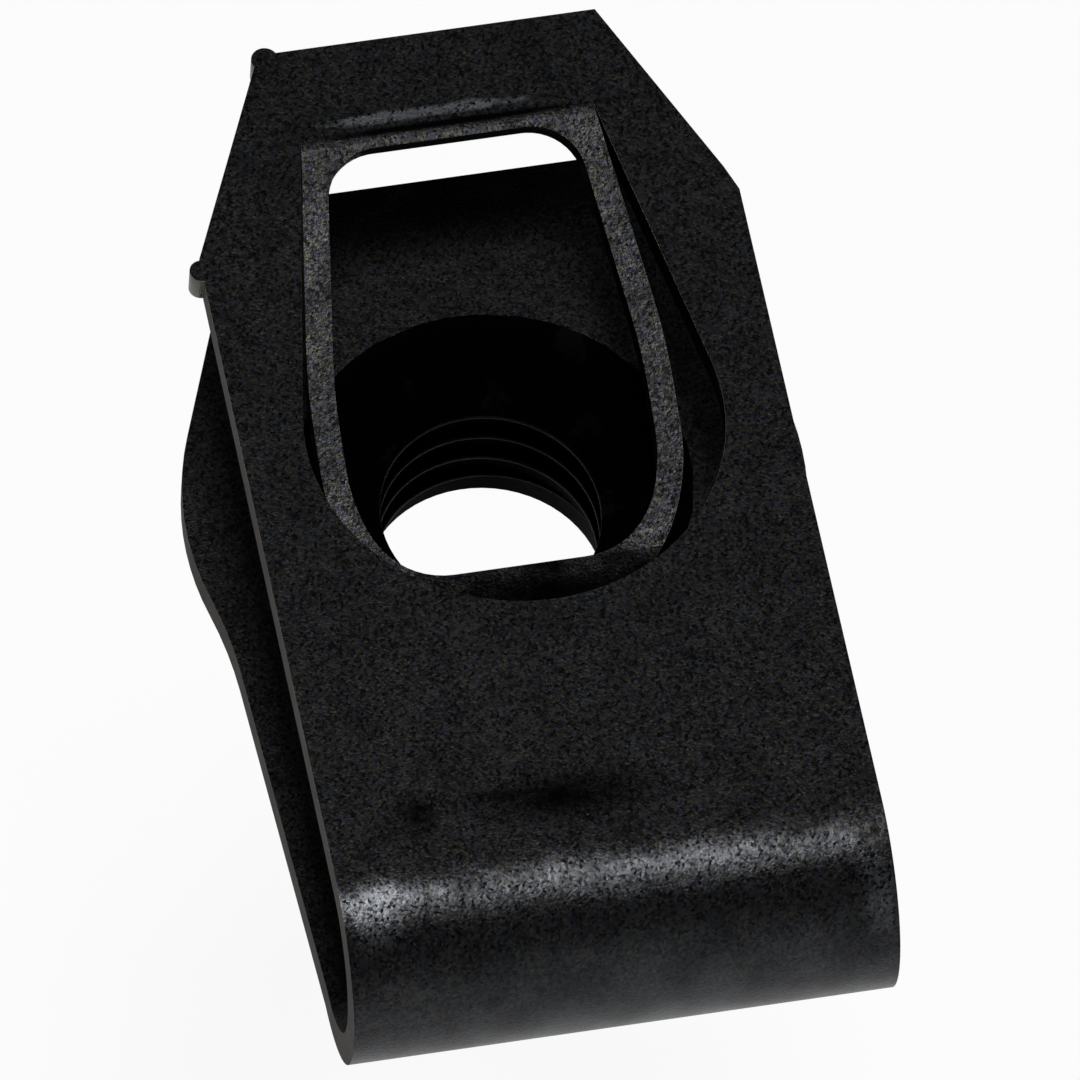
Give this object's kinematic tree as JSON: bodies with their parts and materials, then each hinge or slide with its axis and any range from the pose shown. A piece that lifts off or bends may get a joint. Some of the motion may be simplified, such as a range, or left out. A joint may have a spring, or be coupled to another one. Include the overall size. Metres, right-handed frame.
{
  "type": "u clip speed nut",
  "caption": "U-shaped spring steel clip nut that slides over a panel edge: a drawn threaded barrel on the lower leg, a lanced locating frame hanging from the upper leg.",
  "frame": {"origin": "on the thread's axis, on the face of the lower leg that the panel bears on", "axes": "+X across the strip, +Y from the fold to the open ends of the legs, +Z along the thread's axis, from the lower leg to the upper leg"},
  "size_m": [0.0206, 0.0357, 0.014],
  "materials": {
    "phosphated_steel": "black phosphate and oil, matte, finely grained"
  },
  "bodies": {
    "root": {"nut": "phosphated_steel"}
  },
  "joints": []
}
